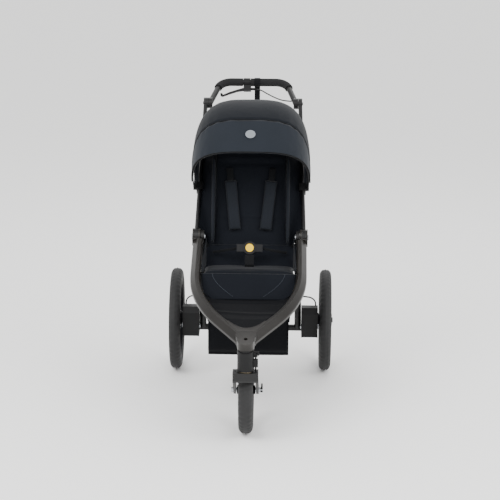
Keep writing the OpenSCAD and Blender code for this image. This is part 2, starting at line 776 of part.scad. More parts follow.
module canopy_clamps() {
    stud_end = bow_half_w;
    color("black") from_axle() both_sides() difference() {
        union() {
            intersection() {
                upper_line() translate([0, 0, upper_len * canopy_at - 15]) linear_extrude(height = 30)
                    square([upper_tube_t + 10, upper_tube_w + 8], center = true);
                translate([0, 0, hub_z]) cube([clamp_out_x, 2000, 1000]);
            }
            x_rod(canopy_tube_x, clamp_out_x, 13, canopy_y, canopy_z);
            x_rod(clamp_out_x - 1, stud_end, 5, canopy_y, canopy_z);
        }
        upper_line() linear_extrude(height = upper_len) flat_oval(upper_tube_w, upper_tube_t);
    }
}

// ---- canopy ----

// Height of a bow above its pivot line at a given x, for a half width a and a height h
function bow_line(a, h, low) = [
    for (k = [-24:24])
        let (q = 90 * k / 24, c = cos(q), s = sin(q), w = pow(abs(s), 2 / bow_power))
        [a * sign(s) * (abs(k) > 21 ? 1 : w), abs(k) == 24 ? low : max(h * pow(c, 2 / bow_power), low)]];

// Children's (x, v) outline stood at a rise from level, forward of the canopy pivot
module bow_plane(rise) {
    translate([0, canopy_y, canopy_z]) rotate([180 - rise, 0, 0]) mirror([0, 0, 1]) children();
}

module bow(layer, rise) {
    a = bow_half_w - bow_step * layer;
    h = canopy_r - 1 - bow_step * layer;
    outer = bow_line(a, h, 0);
    inner = bow_line(a - bow_t, h - bow_t, 0);
    difference() {
        union() {
            bow_plane(rise) translate([0, 0, -bow_w / 2]) linear_extrude(height = bow_w)
                polygon(concat(outer, [for (i = [len(inner) - 1:-1:0]) inner[i]]));
            both_sides() x_rod(a - bow_t - 0.5, a, 9, canopy_y, canopy_z);
        }
        x_rod(-400, 400, 5 + run_gap, canopy_y, canopy_z);
    }
}

module rear_bow() { color("black") from_axle() bow(2, rear_bow_angle); }
module mid_bow() { color("black") from_axle() bow(1, mid_bow_angle); }
module front_bow() { color("black") from_axle() bow(0, front_bow_angle); }

// A curved sheet of cloth between two rises
module canopy_cloth(rise1, rise2) {
    outer = [for (p = bow_line(canopy_half_w, canopy_r + cloth_t, 0)) if (p.y > canopy_low) p];
    inner = [for (p = bow_line(canopy_half_w - cloth_t, canopy_r, 0)) if (p.y > canopy_low) p];
    band = concat(outer, [for (i = [len(inner) - 1:-1:0]) inner[i]]);
    translate([0, canopy_y, canopy_z]) rotate([90, 0, -90]) rotate([0, 0, rise1])
        rotate_extrude(angle = rise2 - rise1, $fn = 96) polygon([for (p = band) [p.y, p.x]]);
}

module canopy_back() { color("black") from_axle() canopy_cloth(mid_bow_angle + 0.3, rear_bow_angle + 2); }
module canopy_visor() { color("dimgray") from_axle() canopy_cloth(front_bow_angle - 1.5, mid_bow_angle - 0.3); }

// ---- handlebar ----

module bar_path(r, from_top = 0) {
    if (from_top == 0)
        translate([bar_x, 0, 0]) rotate([0, 0, bar_lean]) rotate([-90, 0, 0]) cylinder(h = bar_arm_len, r = r);
    translate([bar_top_x, bar_depth - bar_bend_r, 0]) rotate([0, 0, bar_lean])
        rotate_extrude(angle = bar_turn) translate([bar_bend_r, 0]) circle(r = r);
    translate([-weld, bar_depth, 0]) rotate([0, 90, 0]) cylinder(h = bar_top_x + weld, r = r);
}

// Short rods inside the bar that join each bend to its straight runs
module bar_cores() {
    core = 6;
    translate([bar_x, 0, 0]) rotate([0, 0, bar_lean]) translate([0, bar_arm_len, 0]) rotate([90, 0, 0])
        cylinder(h = 2 * core, r = bar_d / 2 - 3, center = true);
    translate([bar_top_x, bar_depth, 0]) rotate([0, 90, 0])
        cylinder(h = 2 * core, r = bar_d / 2 - 3, center = true);
}

module handlebar() {
    color("black") from_axle() difference() {
        union() {
            bar_plane() both_sides() {
                bar_path(bar_d / 2);
                bar_cores();
            }
            both_sides() {
                x_rod(bar_boss_x, bar_boss_x + bar_boss_t, pivot_r, pivot_y, pivot_z);
                x_rod(bar_boss_x + bar_boss_t - 1, upper_x_top + upper_tube_t / 2 - 3, 9, pivot_y, pivot_z);
            }
        }
        both_sides() x_rod(bar_boss_x + 6, upper_x_top + 20, 6 + run_gap, pivot_y, pivot_z);
    }
}

module grip() {
    color("black") from_axle() bar_plane() difference() {
        both_sides() bar_path(grip_d / 2, 1);
        both_sides() bar_path(bar_d / 2);
        translate([-42, bar_depth - 30, -30]) cube([30, 60, 60]);
    }
}

module handle_button(side) {
    color("dimgray") from_axle() on_side(side) {
        x_rod(bar_boss_x + 12, upper_x_top + upper_tube_t / 2 + 3, 6, pivot_y, pivot_z);
    }
}

// Brake frame: X along the bar, Y down and forward from the grip's centre, at the bracket
brake_x = -27;
brake_drop = 28;
brake_tilt = 64.7;
module brake_frame() {
    translate([brake_x, grip_reach, grip_height]) rotate([brake_tilt, 0, 0]) children();
}
module brake_bracket() {
    color("black") from_axle() {
        difference() {
            union() {
                x_rod(brake_x - 13, brake_x + 13, grip_d / 2 + 1, grip_reach, grip_height);
                brake_frame() translate([-13, -brake_drop - 9, -9]) cube([30, brake_drop - 4, 18]);
                brake_frame() translate([16, -brake_drop, 0]) rotate([0, 90, 0]) cylinder(h = 18, r = 5);
                brake_frame() translate([33, -brake_drop, 0]) rotate([0, 90, 0]) cylinder(h = 6, r = 3.6);
            }
            x_rod(brake_x - 20, brake_x + 20, bar_d / 2, grip_reach, grip_height);
            brake_frame() translate([-26, -brake_drop - 20, -4.5]) cube([32, 30, 9]);
        }
        brake_frame() translate([-7, -brake_drop, -9]) cylinder(h = 18, r = 3);
    }
}

module brake_lever() {
    color("black") from_axle() brake_frame() difference() {
        union() {
            translate([-7, -brake_drop, -4]) cylinder(h = 8, r = 8);
            translate([-7, -brake_drop, -4]) linear_extrude(height = 8) polygon([
                [0, -7], [-30, -12], [-62, -23], [-88, -33], [-96, -30], [-98, -20],
                [-91, -18], [-86, -25], [-62, -14], [-30, -3], [0, 6]]);
        }
        translate([-7, -brake_drop, -10]) cylinder(h = 20, r = 3 + run_gap);
    }
}

// Brake cable from the lever's adjuster to the right arm of the bar
handle_cable_route = [
    [12, 998, 1082.7], [30, 992, 1079], [56, 972, 1068], [84, 948, 1058], [110, 926, 1052], [132, 911, 1051], [149, 897, 1052]];
module handle_cable() {
    color("black") from_axle() sweep(curve(handle_cable_route, 5), 2.6, 8);
}

module wrist_strap() {
    x1 = 3;
    color("black") from_axle() {
        difference() {
            x_rod(x1, x1 + 22, grip_d / 2 + 2.3, grip_reach, grip_height);
            x_rod(x1 - 1, x1 + 23, grip_d / 2 + 0.3, grip_reach, grip_height);
        }
        x_slab(x1, x1 + 22)
            translate([grip_reach + grip_d / 2 + 0.3, grip_height - 92]) square([2, 92]);
    }
}

// ---- seat ----

module seat_pan() {
    color("darkslategray") from_axle() x_slab(-seat_half_w, seat_half_w) polygon([
        [seat_front_y + 14, seat_front_z], [seat_rear_y, seat_rear_z], [seat_rear_y, seat_rear_z - seat_t],
        [seat_front_y + 22, seat_front_z - seat_t], [seat_front_y + 14, seat_front_z - seat_t + 8],
        [seat_front_y + 12, seat_front_z - 6]]);
}

module calf_flap() {
    top = [seat_front_y, seat_front_z + 1];
    low = flap_bottom;
    d = (top - low) / norm(top - low);
    n = [d.y, -d.x] * flap_t;
    color("darkslategray") from_axle() x_slab(-seat_half_w - 6, seat_half_w + 6)
        polygon([top, low, low + n, top + n - [0, 6]]);
}

// The footwell's sagging top line, from the flap's foot to the nose
footwell_line = [[190, 430], [120, 419], [40, 413], [-78, 386]];
module footwell() {
    r_in = side_bend_r - frame_tube_w / 2 - 2;
    c = [frame_x - side_bend_r, bend_s];
    side = [for (k = [0:8]) let (q = side_turn * k / 8) [c.x + r_in * cos(q), -(c.y + r_in * sin(q))]];
    start = 300;
    right = concat(
        [[frame_x - frame_tube_w / 2 - 2, -start]], [for (p = side) if (p.y < -start - 2) p], [[14, -(nose_s - 46)]]);
    color("black") from_axle() intersection() {
        frame_plane() translate([0, 0, -120]) linear_extrude(height = 240)
            polygon(concat(right, [for (i = [len(right) - 1:-1:0]) [-right[i].x, right[i].y]]));
        x_slab(-frame_half_w, frame_half_w) polygon(concat(
            footwell_line, [for (i = [len(footwell_line) - 1:-1:0]) footwell_line[i] - [0, footwell_t]]));
    }
}

basket_outline = [[306, 330], [298, 232], [312, 202], [346, 184], [600, 190], [632, 214], [648, 300]];
basket_inside = [[306, 340], [306, 331], [303, 234], [315, 206], [347, 189], [598, 195], [628, 217], [644, 296], [646, 340]];
module basket() {
    color("black") from_axle() difference() {
        x_slab(-150, 150) polygon(basket_outline);
        x_slab(-146, 146) polygon(basket_inside);
    }
}

module crotch_strap() {
    color("black") from_axle() x_slab(-17, 17) polygon([
        [398, 510.5], [372, 513], [374, 525], [400, 555], [403, 552], [378, 523], [377, 516], [398, 514]]);
}

module backrest() {
    color("darkslategray") from_axle() back_line() {
        translate([-back_half_w, 2, 16]) cube([2 * back_half_w, back_t, back_length - 16]);
        both_sides() translate([back_half_w - 14, -38, 60]) cube([14, 42, back_length - 150]);
    }
}

module shoulder_harness() {
    color("dimgray") from_axle() back_line() both_sides() rotate([0, 6, 0]) {
        translate([22, -13, 120]) cube([46, 12, 190]);
        translate([33, -4, 310]) cube([24, 3, 40]);
    }
}

module waist_straps() {
    color("black") from_axle() both_sides()
        rod([52, buckle_y + 4, buckle_z - 2], [138, bight_y - 14, bight_z + 34], 5, $fn = 16);
}

module buckle() {
    color("dimgray") from_axle() translate([0, buckle_y, buckle_z]) rotate([back_angle - 90, 0, 0]) difference() {
        union() {
            rotate([90, 0, 0]) cylinder(h = 16, r = 24, center = true);
            translate([-48, -6, -14]) cube([96, 12, 28]);
        }
        translate([0, -3, 0]) rotate([90, 0, 0]) cylinder(h = 20, r = 15 + run_gap);
    }
}

module buckle_button() {
    color("gold") from_axle() translate([0, buckle_y, buckle_z]) rotate([back_angle - 90, 0, 0])
        translate([0, -5.5, 0]) rotate([90, 0, 0]) cylinder(h = 5.5, r = 15);
}

main_frame();
steering_head();
head_bushes();
fold_hubs();
fold_pins();
seat_pan();
calf_flap();
footwell();
basket();
crotch_strap();
swivel_lock();
fork();
kingpin();
front_skewer();
qr_lever();
front_tyre();
front_rim();
front_spokes();
front_hub();
front_bearings();
rear_frame();
suspension_housings();
suspension_pins();
suspension_blocks();
rear_cables();
parking_brake();
swingarm(-1);  // swingarm_l
swingarm(1);  // swingarm_r
rear_axle(-1);  // rear_axle_l
rear_axle(1);  // rear_axle_r
rear_tyre(-1);  // rear_tyre_l
rear_tyre(1);  // rear_tyre_r
rear_rim(-1);  // rear_rim_l
rear_rim(1);  // rear_rim_r
rear_spokes(-1);  // rear_spokes_l
rear_spokes(1);  // rear_spokes_r
rear_hub(-1);  // rear_hub_l
rear_hub(1);  // rear_hub_r
wheel_button(-1);  // wheel_button_l
wheel_button(1);  // wheel_button_r
upper_frame();
canopy_clamps();
rear_bow();
mid_bow();
front_bow();
canopy_back();
canopy_visor();
handlebar();
grip();
brake_bracket();
brake_lever();
handle_cable();
wrist_strap();
handle_button(-1);  // handle_button_l
handle_button(1);  // handle_button_r
backrest();
shoulder_harness();
waist_straps();
buckle();
buckle_button();
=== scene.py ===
import math

import bmesh
import bpy
from mathutils import Matrix, Vector, noise


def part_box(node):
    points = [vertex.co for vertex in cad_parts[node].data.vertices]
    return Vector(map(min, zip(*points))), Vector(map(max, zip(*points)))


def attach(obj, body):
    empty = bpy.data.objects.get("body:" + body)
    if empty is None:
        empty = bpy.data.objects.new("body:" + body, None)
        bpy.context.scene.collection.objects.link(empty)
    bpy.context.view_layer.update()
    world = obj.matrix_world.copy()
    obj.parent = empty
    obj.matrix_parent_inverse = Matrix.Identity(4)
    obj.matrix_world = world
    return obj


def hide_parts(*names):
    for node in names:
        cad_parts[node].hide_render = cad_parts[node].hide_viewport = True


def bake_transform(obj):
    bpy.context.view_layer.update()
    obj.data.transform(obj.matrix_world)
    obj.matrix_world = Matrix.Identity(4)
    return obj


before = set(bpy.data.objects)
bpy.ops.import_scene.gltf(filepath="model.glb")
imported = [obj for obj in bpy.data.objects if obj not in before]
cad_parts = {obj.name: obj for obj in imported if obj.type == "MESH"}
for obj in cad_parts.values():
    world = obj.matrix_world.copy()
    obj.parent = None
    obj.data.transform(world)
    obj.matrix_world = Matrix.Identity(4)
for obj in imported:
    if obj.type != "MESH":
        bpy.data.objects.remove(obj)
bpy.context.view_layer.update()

# ---- camera, floor and light ----
# The stroller is seen from in front and above, from nearly seven metres off with a long lens. Three
# soft lamps and a white surround light it evenly, over a matt floor painted nearly white.
axle = (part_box("front_hub")[0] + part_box("front_hub")[1]) / 2


def place(x, y, z):
    """A point given in mm, with Y counted back from the front axle, as one in metres."""
    return Vector((x / 1000, y / 1000 + axle.y, z / 1000))


rise, turn, roll = math.radians(13.5), math.radians(1.1), math.radians(0.45)
back = Vector((math.sin(turn) * math.cos(rise), -math.cos(turn) * math.cos(rise), math.sin(rise)))
across = Vector((math.cos(turn), math.sin(turn), 0))
upward = back.cross(across)
across, upward = (
    across * math.cos(roll) + upward * math.sin(roll),
    upward * math.cos(roll) - across * math.sin(roll),
)
camera_data = bpy.data.cameras.new("camera")
camera_data.lens = 138.3
camera_data.sensor_width = 36
camera_data.clip_end = 60
camera = bpy.data.objects.new("camera", camera_data)
bpy.context.scene.collection.objects.link(camera)
stand = Matrix((across, upward, back)).transposed().to_4x4()
stand.translation = place(134.9, -6526.9, 2236)
camera.matrix_world = stand
bpy.context.scene.camera = camera

world = bpy.data.worlds.new("studio")
bpy.context.scene.world = world
world.use_nodes = True
surround = world.node_tree.nodes["Background"].inputs
surround["Color"].default_value = (1, 1, 1, 1)
surround["Strength"].default_value = 1.5
lamps_aim_at = Vector((0, 0, 0.5))
for name, where, size, power in (
    ("key", (-2.2, -2.8, 3.6), 2.6, 150),
    ("fill", (2.8, -2.2, 2.4), 2.8, 90),
    ("rim", (0.4, 2.6, 3.2), 2.4, 30),
):
    lamp_data = bpy.data.lights.new(name, "AREA")
    lamp_data.size, lamp_data.energy = size, power
    lamp = bpy.data.objects.new(name, lamp_data)
    bpy.context.scene.collection.objects.link(lamp)
    lamp.location = where
    lamp.rotation_euler = (lamps_aim_at - Vector(where)).to_track_quat("-Z", "Y").to_euler()


def linear(colour):
    """An sRGB hex colour as linear red, green, blue, 1."""
    parts = [int(colour[i:i + 2], 16) / 255 for i in (1, 3, 5)]
    return (*[p / 12.92 if p <= 0.04045 else ((p + 0.055) / 1.055) ** 2.4 for p in parts], 1)


def material(name):
    """A new material and its main shader."""
    made = bpy.data.materials.new(name)
    made.use_nodes = True
    return made, made.node_tree.nodes["Principled BSDF"]


def add(made, kind, inputs, **settings):
    """Adds a node. An input that is a socket is linked, and any other is set."""
    n = made.node_tree.nodes.new(kind)
    for key, value in settings.items():
        setattr(n, key, value)
    for key, value in inputs.items():
        if isinstance(value, bpy.types.NodeSocket):
            made.node_tree.links.new(value, n.inputs[key])
        else:
            n.inputs[key].default_value = value
    return n


def wire(made, output, socket):
    """Links an output to a socket of the same material."""
    made.node_tree.links.new(output, socket)


def piece(name, verts, faces, skin, smooth=True):
    """A mesh object from points and faces."""
    mesh = bpy.data.meshes.new(name)
    mesh.from_pydata([tuple(v) for v in verts], [], faces)
    mesh.validate()
    fix = bmesh.new()
    fix.from_mesh(mesh)
    bmesh.ops.recalc_face_normals(fix, faces=fix.faces)
    fix.to_mesh(mesh)
    fix.free()
    mesh.materials.append(skin)
    for f in mesh.polygons:
        f.use_smooth = smooth
    made = bpy.data.objects.new(name, mesh)
    bpy.context.scene.collection.objects.link(made)
    return made


floor_paint, shader = material("pale_floor")
shader.inputs["Base Color"].default_value = linear("#fbfbfa")
shader.inputs["Roughness"].default_value = 0.8
near, far = 14, 60
floor = piece("floor", [(-near, -near, 0), (near, -near, 0), (near, far, 0), (-near, far, 0)],
              [(0, 1, 2, 3)], floor_paint)

# ---- cables ----
# Steel brake cables in black PVC sheaths: one from the hand lever into the bar, two at the rear.
# Each sheath is a stiff round tube that keeps the bend it was fitted with.
sides = (("l", -1), ("r", 1))


def moulded(name, colour, rough, grain_mm, depth=0.15):
    """Injection-moulded plastic: even colour, a fine spark-eroded grain, slight patches of gloss."""
    made, s = material(name)
    here = add(made, "ShaderNodeTexCoord", {}).outputs["Object"]
    grain = add(made, "ShaderNodeTexNoise", {"Vector": here, "Scale": 1000 / grain_mm, "Detail": 3.0})
    patch = add(made, "ShaderNodeTexNoise", {"Vector": here, "Scale": 9.0, "Detail": 2.0})
    tone = add(made, "ShaderNodeMixRGB", {
        "Fac": patch.outputs["Fac"], "Color1": linear(colour),
        "Color2": tuple(min(c * 1.5 + 0.003, 1) for c in linear(colour)[:3]) + (1,)})
    gloss = add(made, "ShaderNodeMapRange", {
        "Value": patch.outputs["Fac"], "To Min": rough - 0.07, "To Max": rough + 0.07})
    bump = add(made, "ShaderNodeBump", {
        "Height": grain.outputs["Fac"], "Strength": depth, "Distance": 0.0004})
    wire(made, tone.outputs["Color"], s.inputs["Base Color"])
    wire(made, gloss.outputs["Result"], s.inputs["Roughness"])
    wire(made, bump.outputs["Normal"], s.inputs["Normal"])
    s.inputs["Specular IOR Level"].default_value = 0.22
    return made


sheath = moulded("pvc_cable_sheath", "#161617", 0.4, 1.5, 0.05)


def smooth_line(points, steps):
    """A smooth curve through all the points, with some steps to each stretch."""
    out = []
    for i in range(len(points) - 1):
        a, b = points[max(i - 1, 0)], points[i]
        c, d = points[i + 1], points[min(i + 2, len(points) - 1)]
        for k in range(steps):
            t = k / steps
            out.append(0.5 * (2 * b + (c - a) * t + (2 * a - 5 * b + 4 * c - d) * t * t
                              + (3 * b - a - 3 * c + d) * t ** 3))
    return out + [points[-1]]


def run_cable(name, points, diameter):
    """A round cable through some points, and the line that it follows."""
    line = smooth_line(points, 6)
    data = bpy.data.curves.new(name, "CURVE")
    data.dimensions = "3D"
    spline = data.splines.new("POLY")
    spline.points.add(len(line) - 1)
    for p, q in zip(spline.points, line):
        p.co = (*q, 1)
    data.bevel_depth, data.bevel_resolution, data.use_fill_caps = diameter / 2, 4, True
    data.materials.append(sheath)
    made = bpy.data.objects.new(name, data)
    bpy.context.scene.collection.objects.link(made)
    return made, line


def as_mesh(o):
    """The object with its curve or modifiers turned into plain mesh."""
    bpy.context.view_layer.update()
    seen = o.evaluated_get(bpy.context.evaluated_depsgraph_get())
    mesh = bpy.data.meshes.new_from_object(seen)
    made = bpy.data.objects.new(o.name + ".mesh", mesh)
    bpy.context.scene.collection.objects.link(made)
    made.matrix_world = o.matrix_world
    name = o.name
    bpy.data.objects.remove(o)
    made.name = name
    return made


def line_length(line):
    """The length along a line of points."""
    return sum((b - a).length for a, b in zip(line, line[1:]))


lever_cable, lever_line = run_cable("lever_cable", [place(*p) for p in (
    (12, 998, 1082.7), (30, 992, 1079), (56, 972, 1068), (84, 948, 1058), (110, 926, 1052),
    (132, 911, 1051), (149, 897, 1052))], 0.0052)
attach(lever_cable, "handlebar")
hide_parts("handle_cable")

for tag, side in sides:
    cable, line = run_cable("rear_cable_" + tag, [place(side * x, y, z) for x, y, z in (
        (198, 640, 330), (204, 652, 330), (218, 674, 323), (234, 704, 312), (248, 736, 294),
        (254, 758, 274), (254, 767, 253))], 0.006)
    cable = as_mesh(cable)
    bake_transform(cable)
    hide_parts("rear_cables")

# ---- frame ----
# Aluminium tube, bent, welded at the joints and blasted before it is coated. The V is powder-coated
# warm gunmetal, and the rest of the frame and the fork are satin black.


def powder_coat(name, colour, rough, metal, rub_share):
    """Powder coat over aluminium: a faint orange peel, about 2 mm across, under a satin gloss."""
    made, s = material(name)
    here = add(made, "ShaderNodeTexCoord", {}).outputs["Object"]
    peel = add(made, "ShaderNodeTexNoise", {"Vector": here, "Scale": 500.0, "Detail": 2.0})
    wear = add(made, "ShaderNodeTexNoise", {"Vector": here, "Scale": 14.0, "Detail": 5.0})
    edge = add(made, "ShaderNodeNewGeometry", {}).outputs["Pointiness"]
    rub = add(made, "ShaderNodeMapRange", {
        "Value": edge, "From Min": 0.56, "From Max": 0.7, "To Max": rub_share})
    base = add(made, "ShaderNodeMixRGB", {
        "Fac": wear.outputs["Fac"], "Color1": linear(colour),
        "Color2": tuple(min(c * 1.25, 1) for c in linear(colour)[:3]) + (1,)})
    worn = add(made, "ShaderNodeMixRGB", {
        "Fac": rub.outputs["Result"], "Color1": base.outputs["Color"], "Color2": linear("#8f8d89")})
    gloss = add(made, "ShaderNodeMapRange", {
        "Value": wear.outputs["Fac"], "To Min": rough - 0.06, "To Max": rough + 0.08})
    bump = add(made, "ShaderNodeBump", {
        "Height": peel.outputs["Fac"], "Strength": 0.08, "Distance": 0.0003})
    wire(made, worn.outputs["Color"], s.inputs["Base Color"])
    wire(made, gloss.outputs["Result"], s.inputs["Roughness"])
    wire(made, bump.outputs["Normal"], s.inputs["Normal"])
    s.inputs["Metallic"].default_value = metal
    s.inputs["Specular IOR Level"].default_value = 0.3
    s.inputs["Coat Weight"].default_value = 0.08
    s.inputs["Coat Roughness"].default_value = 0.3
    return made


def dress(skin, slot, *names):
    """Carried-over CAD nodes take a material."""
    for n in names:
        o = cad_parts[n]
        o.data.materials.clear()
        o.data.materials.append(skin)


gunmetal = powder_coat("gunmetal_powder_coat", "#191715", 0.3, 0.3, 0.06)
satin_black = powder_coat("satin_black_powder_coat", "#070708", 0.4, 0.0, 0.02)
dress(gunmetal, "frame_paint", "main_frame", "fold_hubs")
dress(satin_black, "black_paint", "upper_frame", "handlebar", "rear_frame", "fork")

# ---- nose web ----
# The web welded into the V's inner corner, so that its two tubes run into each other in one curve.
# The V lies in a plane through the fold axis, 19.55 degrees from level.
slope = math.radians(19.55)


def on_frame(x, along, up):
    """A point in mm from the fold axis: across, forward along the V's plane and up off it."""
    return place(x, 500 - along * math.cos(slope) - up * math.sin(slope),
                 600 - along * math.sin(slope) + up * math.cos(slope))


verts, faces = [], []
web_apex, web_depth, web_half, web_curve = 656.4, 44, 63.9, 0.01077
arc_steps = 40
levels = ((-14, 0), (14.2, 0), (16.2, 0.9), (17.1, 2.3))
for up, inset in levels:
    for i in range(arc_steps + 1):
        x = web_half * (2 * i / arc_steps - 1)
        verts.append(on_frame(x, web_apex - web_depth - web_curve * x * x + inset, up))
    for x, deep in ((72, 84), (30, 20), (-30, 20), (-72, 84)):
        verts.append(on_frame(x, web_apex - deep, up))
loop = arc_steps + 5
for k in range(len(levels) - 1):
    for i in range(loop):
        j = (i + 1) % loop
        faces.append((k * loop + i, k * loop + j, (k + 1) * loop + j, (k + 1) * loop + i))
faces += [tuple(range(loop)), tuple(range(len(verts) - loop, len(verts)))]
web = piece("nose_web", verts, faces, gunmetal, False)
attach(web, "chassis")

# ---- moulded fittings ----
# Glass-filled nylon housings, levers, clamps and buttons, injection-moulded in steel tools whose
# spark-eroded walls leave a dull, fine grain on them.
nylon = moulded("black_glass_filled_nylon", "#070708", 0.5, 1.2)
pale_nylon = moulded("pale_acetal_bush", "#b9a888", 0.35, 1.0, 0.05)
red_nylon = moulded("red_nylon", "#8f1a1c", 0.4, 1.2)
dress(nylon, "black_plastic", "steering_head", "swivel_lock", "qr_lever", "canopy_clamps", "brake_bracket",
      "brake_lever", "handle_button_l", "handle_button_r", "wheel_button_l", "wheel_button_r",
      "suspension_housings", "rear_bow", "mid_bow", "front_bow")
dress(pale_nylon, "bush_plastic", "head_bushes")
dress(red_nylon, "red_plastic", "parking_brake")

# ---- steel and alloy ----
# Turned steel pins and axles, bright with zinc plate. The rims, hubs and swing arms are alloy, anodised
# black, and the wire spokes are blackened steel.


def turned_metal(name, colour, rough):
    """Turned metal: fine tool rings about 0.8 mm apart, drawn as a stretched noise."""
    made, s = material(name)
    here = add(made, "ShaderNodeTexCoord", {}).outputs["Object"]
    ring = add(made, "ShaderNodeMapping", {"Vector": here, "Scale": (1200.0, 40.0, 40.0)})
    lines = add(made, "ShaderNodeTexNoise", {"Vector": ring.outputs["Vector"], "Scale": 1.0, "Detail": 4.0})
    gloss = add(made, "ShaderNodeMapRange", {
        "Value": lines.outputs["Fac"], "To Min": rough - 0.08, "To Max": rough + 0.1})
    bump = add(made, "ShaderNodeBump", {
        "Height": lines.outputs["Fac"], "Strength": 0.06, "Distance": 0.0002})
    s.inputs["Base Color"].default_value = linear(colour)
    s.inputs["Metallic"].default_value = 1.0
    wire(made, gloss.outputs["Result"], s.inputs["Roughness"])
    wire(made, bump.outputs["Normal"], s.inputs["Normal"])
    return made


zinc = turned_metal("zinc_plated_steel", "#b9bcc0", 0.28)
anodised = turned_metal("black_anodised_alloy", "#161618", 0.38)
blackened = turned_metal("blackened_spoke_steel", "#252528", 0.4)
dress(zinc, "steel", "fold_pins", "kingpin", "front_skewer", "front_bearings", "suspension_pins",
      "rear_axle_l", "rear_axle_r")
dress(anodised, "black_alloy", "front_rim", "front_hub", "rear_rim_l", "rear_rim_r", "rear_hub_l",
      "rear_hub_r", "swingarm_l", "swingarm_r")
dress(blackened, "spoke_steel", "front_spokes", "rear_spokes_l", "rear_spokes_r")

# ---- rubber ----
# The grip is a sleeve of black foam pushed over the bar, dull, with a coarse skin.
# The rear suspension springs on two cast blocks of amber elastomer.
foam = moulded("black_foam_grip", "#141415", 0.85, 2.2, 0.5)
elastomer = moulded("amber_elastomer", "#a0762a", 0.45, 3.0, 0.05)
dress(foam, "foam", "grip")
dress(elastomer, "spring_rubber", "suspension_blocks")

# ---- tyres ----
# Butyl rubber tyres of 12.5 and 16 inches, cured in a mould. A groove down each side of the centre
# rib and staggered cross grooves leave two rows of blocks.
tyre_rubber, shader = material("butyl_tyre_rubber")
spot = add(tyre_rubber, "ShaderNodeTexCoord", {}).outputs["Object"]
dust = add(tyre_rubber, "ShaderNodeTexNoise", {"Vector": spot, "Scale": 30.0, "Detail": 6.0})
fine = add(tyre_rubber, "ShaderNodeTexNoise", {"Vector": spot, "Scale": 700.0, "Detail": 2.0})
shade = add(tyre_rubber, "ShaderNodeMixRGB", {
    "Fac": dust.outputs["Fac"], "Color1": linear("#0b0b0c"), "Color2": linear("#19191a")})
press = add(tyre_rubber, "ShaderNodeBump", {
    "Height": fine.outputs["Fac"], "Strength": 0.15, "Distance": 0.0004})
wire(tyre_rubber, shade.outputs["Color"], shader.inputs["Base Color"])
wire(tyre_rubber, press.outputs["Normal"], shader.inputs["Normal"])
shader.inputs["Roughness"].default_value = 0.72


def treaded_tyre(node, blocks):
    """The tyre as a ring of sections whose outer skin dips between the tread blocks."""
    low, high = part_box(node)
    mid, radius, half = (low + high) / 2, (high.z - low.z) / 2, (high.x - low.x) / 2
    depth, around, side = 0.0028, blocks * 4, 28
    rib_edge, block_edge, tread_start = 0.16, 0.34, 0.35
    verts, faces = [], []
    for i in range(around):
        turn_at = 2 * math.pi * i / around
        for k in range(side):
            q = 2 * math.pi * k / side
            x, out = half * math.cos(q), half * math.sin(q)
            stagger = 2 if x > 0 else 0
            off_middle = abs(x) / half
            cross_groove = (i + stagger) % 4 == 0 and off_middle > rib_edge
            long_groove = rib_edge < off_middle < block_edge
            groove = math.sin(q) > tread_start and (cross_groove or long_groove)
            r = radius - half + out - (depth if groove else 0)
            verts.append((mid.x + x, mid.y + r * math.cos(turn_at), mid.z + r * math.sin(turn_at)))
    for i in range(around):
        for k in range(side):
            j, m = (i + 1) % around, (k + 1) % side
            faces.append((i * side + k, j * side + k, j * side + m, i * side + m))
    return piece(node + "_tread", verts, faces, tyre_rubber)


for node, body, blocks in (("front_tyre", "front_wheel", 46), ("rear_tyre_l", "rear_wheel_l", 58),
                           ("rear_tyre_r", "rear_wheel_r", 58)):
    tyre = treaded_tyre(node, blocks)
    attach(tyre, body)
    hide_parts(node)

# ---- canopy ----
# Two panels of coated polyester over three sprung bows: a dark rear panel and a lighter visor. They
# are cut flat, seamed over the middle bow, and bound at both rims with a rolled tape.


def woven(name, colour, thread_mm, sheen, crease=0.35):
    """Plain-woven polyester. The thread is drawn coarser than the real 0.4 mm so that it shows."""
    made, s = material(name)
    here = add(made, "ShaderNodeTexCoord", {}).outputs["Object"]
    scale = 1000 / (math.pi * thread_mm)
    warp = add(made, "ShaderNodeTexWave", {"Vector": here, "Scale": scale, "Distortion": 0.3},
               wave_type="BANDS", bands_direction="X")
    weft = add(made, "ShaderNodeTexWave", {"Vector": here, "Scale": scale, "Distortion": 0.3},
               wave_type="BANDS", bands_direction="Z")
    cloth = add(made, "ShaderNodeMath", {0: warp.outputs["Fac"], 1: weft.outputs["Fac"]},
                operation="MULTIPLY")
    fold = add(made, "ShaderNodeTexNoise", {"Vector": here, "Scale": 22.0, "Detail": 4.0})
    faded = add(made, "ShaderNodeTexNoise", {"Vector": here, "Scale": 5.0, "Detail": 3.0})
    tone = add(made, "ShaderNodeMixRGB", {
        "Fac": faded.outputs["Fac"], "Color1": linear(colour),
        "Color2": tuple(min(c * 1.35 + 0.002, 1) for c in linear(colour)[:3]) + (1,)})
    # The weave is also painted into the colour: painted light on the thread crests and painted shade in the
    # gaps between threads.
    painted_weave_shading = add(made, "ShaderNodeMixRGB", {
        "Fac": 0.15, "Color1": tone.outputs["Color"], "Color2": cloth.outputs["Value"]},
        blend_type="SOFT_LIGHT")
    creased = add(made, "ShaderNodeBump", {
        "Height": fold.outputs["Fac"], "Strength": crease, "Distance": 0.004})
    thread = add(made, "ShaderNodeBump", {
        "Height": cloth.outputs["Value"], "Strength": 0.25, "Distance": 0.0004,
        "Normal": creased.outputs["Normal"]})
    wire(made, painted_weave_shading.outputs["Color"], s.inputs["Base Color"])
    wire(made, thread.outputs["Normal"], s.inputs["Normal"])
    s.inputs["Roughness"].default_value = 0.82
    s.inputs["Specular IOR Level"].default_value = 0.1
    s.inputs["Sheen Weight"].default_value = sheen
    s.inputs["Sheen Roughness"].default_value = 0.4
    return made


